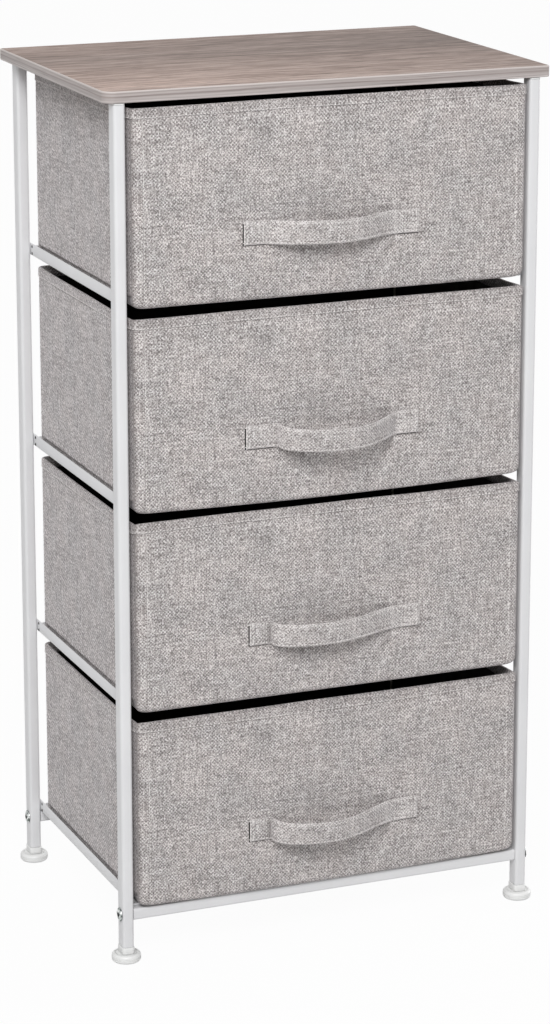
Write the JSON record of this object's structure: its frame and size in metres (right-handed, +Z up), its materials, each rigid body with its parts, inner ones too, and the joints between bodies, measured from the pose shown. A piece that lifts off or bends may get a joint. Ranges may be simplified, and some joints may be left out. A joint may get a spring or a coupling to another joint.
{
  "type": "fabric drawer tower",
  "caption": "Tall narrow storage tower: white steel tube frame, wood-grain top, and open fabric drawers with strap handles that slide out on angle rails.",
  "frame": {"origin": "on the floor, under the middle of the part's box, handles included", "axes": "+Z up, drawers open towards -Y, +X to the right seen from the front"},
  "size_m": [0.45, 0.3398, 0.848],
  "materials": {
    "laminate": "grey-brown wood-grain laminate, matte",
    "edge_band": "pale wood-grain edge band",
    "powder_coat": "white powder coat",
    "zinc": "zinc plated",
    "white_plastic": "white moulded plastic",
    "linen": "warm grey linen-look weave",
    "strap": "warm grey linen-look weave",
    "board": "fibreboard in a black lining"
  },
  "bodies": {
    "frame": {"top_panel": "laminate", "edge_band": "edge_band", "post_front_left": "powder_coat", "post_front_right": "powder_coat", "post_rear_left": "powder_coat", "post_rear_right": "powder_coat", "rail_left_1": "powder_coat", "rail_left_2": "powder_coat", "rail_left_3": "powder_coat", "rail_left_4": "powder_coat", "rail_right_1": "powder_coat", "rail_right_2": "powder_coat", "rail_right_3": "powder_coat", "rail_right_4": "powder_coat", "crossbar_front": "powder_coat", "crossbar_rear": "powder_coat", "crossbar_nut_front_left": "zinc", "crossbar_nut_front_right": "zinc", "crossbar_nut_rear_left": "zinc", "crossbar_nut_rear_right": "zinc", "crossbar_bolt_front_left": "zinc", "crossbar_bolt_front_right": "zinc", "crossbar_bolt_rear_left": "zinc", "crossbar_bolt_rear_right": "zinc", "top_plug_front_left": "white_plastic", "top_plug_front_right": "white_plastic", "top_plug_rear_left": "white_plastic", "top_plug_rear_right": "white_plastic", "top_screw_front_left": "zinc", "top_screw_front_right": "zinc", "top_screw_rear_left": "zinc", "top_screw_rear_right": "zinc", "foot_plug_front_left": "white_plastic", "foot_plug_front_right": "white_plastic", "foot_plug_rear_left": "white_plastic", "foot_plug_rear_right": "white_plastic"},
    "drawer_1": {"drawer_1_shell": "linen", "drawer_1_front_board": "board", "drawer_1_bottom_board": "board", "drawer_1_handle": "strap"},
    "drawer_2": {"drawer_2_shell": "linen", "drawer_2_front_board": "board", "drawer_2_bottom_board": "board", "drawer_2_handle": "strap"},
    "drawer_3": {"drawer_3_shell": "linen", "drawer_3_front_board": "board", "drawer_3_bottom_board": "board", "drawer_3_handle": "strap"},
    "drawer_4": {"drawer_4_shell": "linen", "drawer_4_front_board": "board", "drawer_4_bottom_board": "board", "drawer_4_handle": "strap"},
    "foot_front_left": {"foot_front_left": "white_plastic"},
    "foot_front_right": {"foot_front_right": "white_plastic"},
    "foot_rear_left": {"foot_rear_left": "white_plastic"},
    "foot_rear_right": {"foot_rear_right": "white_plastic"}
  },
  "joints": [
    {"name": "drawer_1_slide", "type": "slide", "parent": "frame", "child": "drawer_1", "axis": [0, -1, 0], "range_m": [0, 0.24]},
    {"name": "drawer_2_slide", "type": "slide", "parent": "frame", "child": "drawer_2", "axis": [0, -1, 0], "range_m": [0, 0.24]},
    {"name": "drawer_3_slide", "type": "slide", "parent": "frame", "child": "drawer_3", "axis": [0, -1, 0], "range_m": [0, 0.24]},
    {"name": "drawer_4_slide", "type": "slide", "parent": "frame", "child": "drawer_4", "axis": [0, -1, 0], "range_m": [0, 0.24]},
    {"name": "foot_front_left_turn", "type": "hinge", "parent": "frame", "child": "foot_front_left", "pos_m": [-0.21025, -0.13115, 0], "axis": [0, 0, 1], "continuous": true},
    {"name": "foot_front_right_turn", "type": "hinge", "parent": "frame", "child": "foot_front_right", "pos_m": [0.21025, -0.13115, 0], "axis": [0, 0, 1], "continuous": true},
    {"name": "foot_rear_left_turn", "type": "hinge", "parent": "frame", "child": "foot_rear_left", "pos_m": [-0.21025, 0.15185, 0], "axis": [0, 0, 1], "continuous": true},
    {"name": "foot_rear_right_turn", "type": "hinge", "parent": "frame", "child": "foot_rear_right", "pos_m": [0.21025, 0.15185, 0], "axis": [0, 0, 1], "continuous": true}
  ]
}
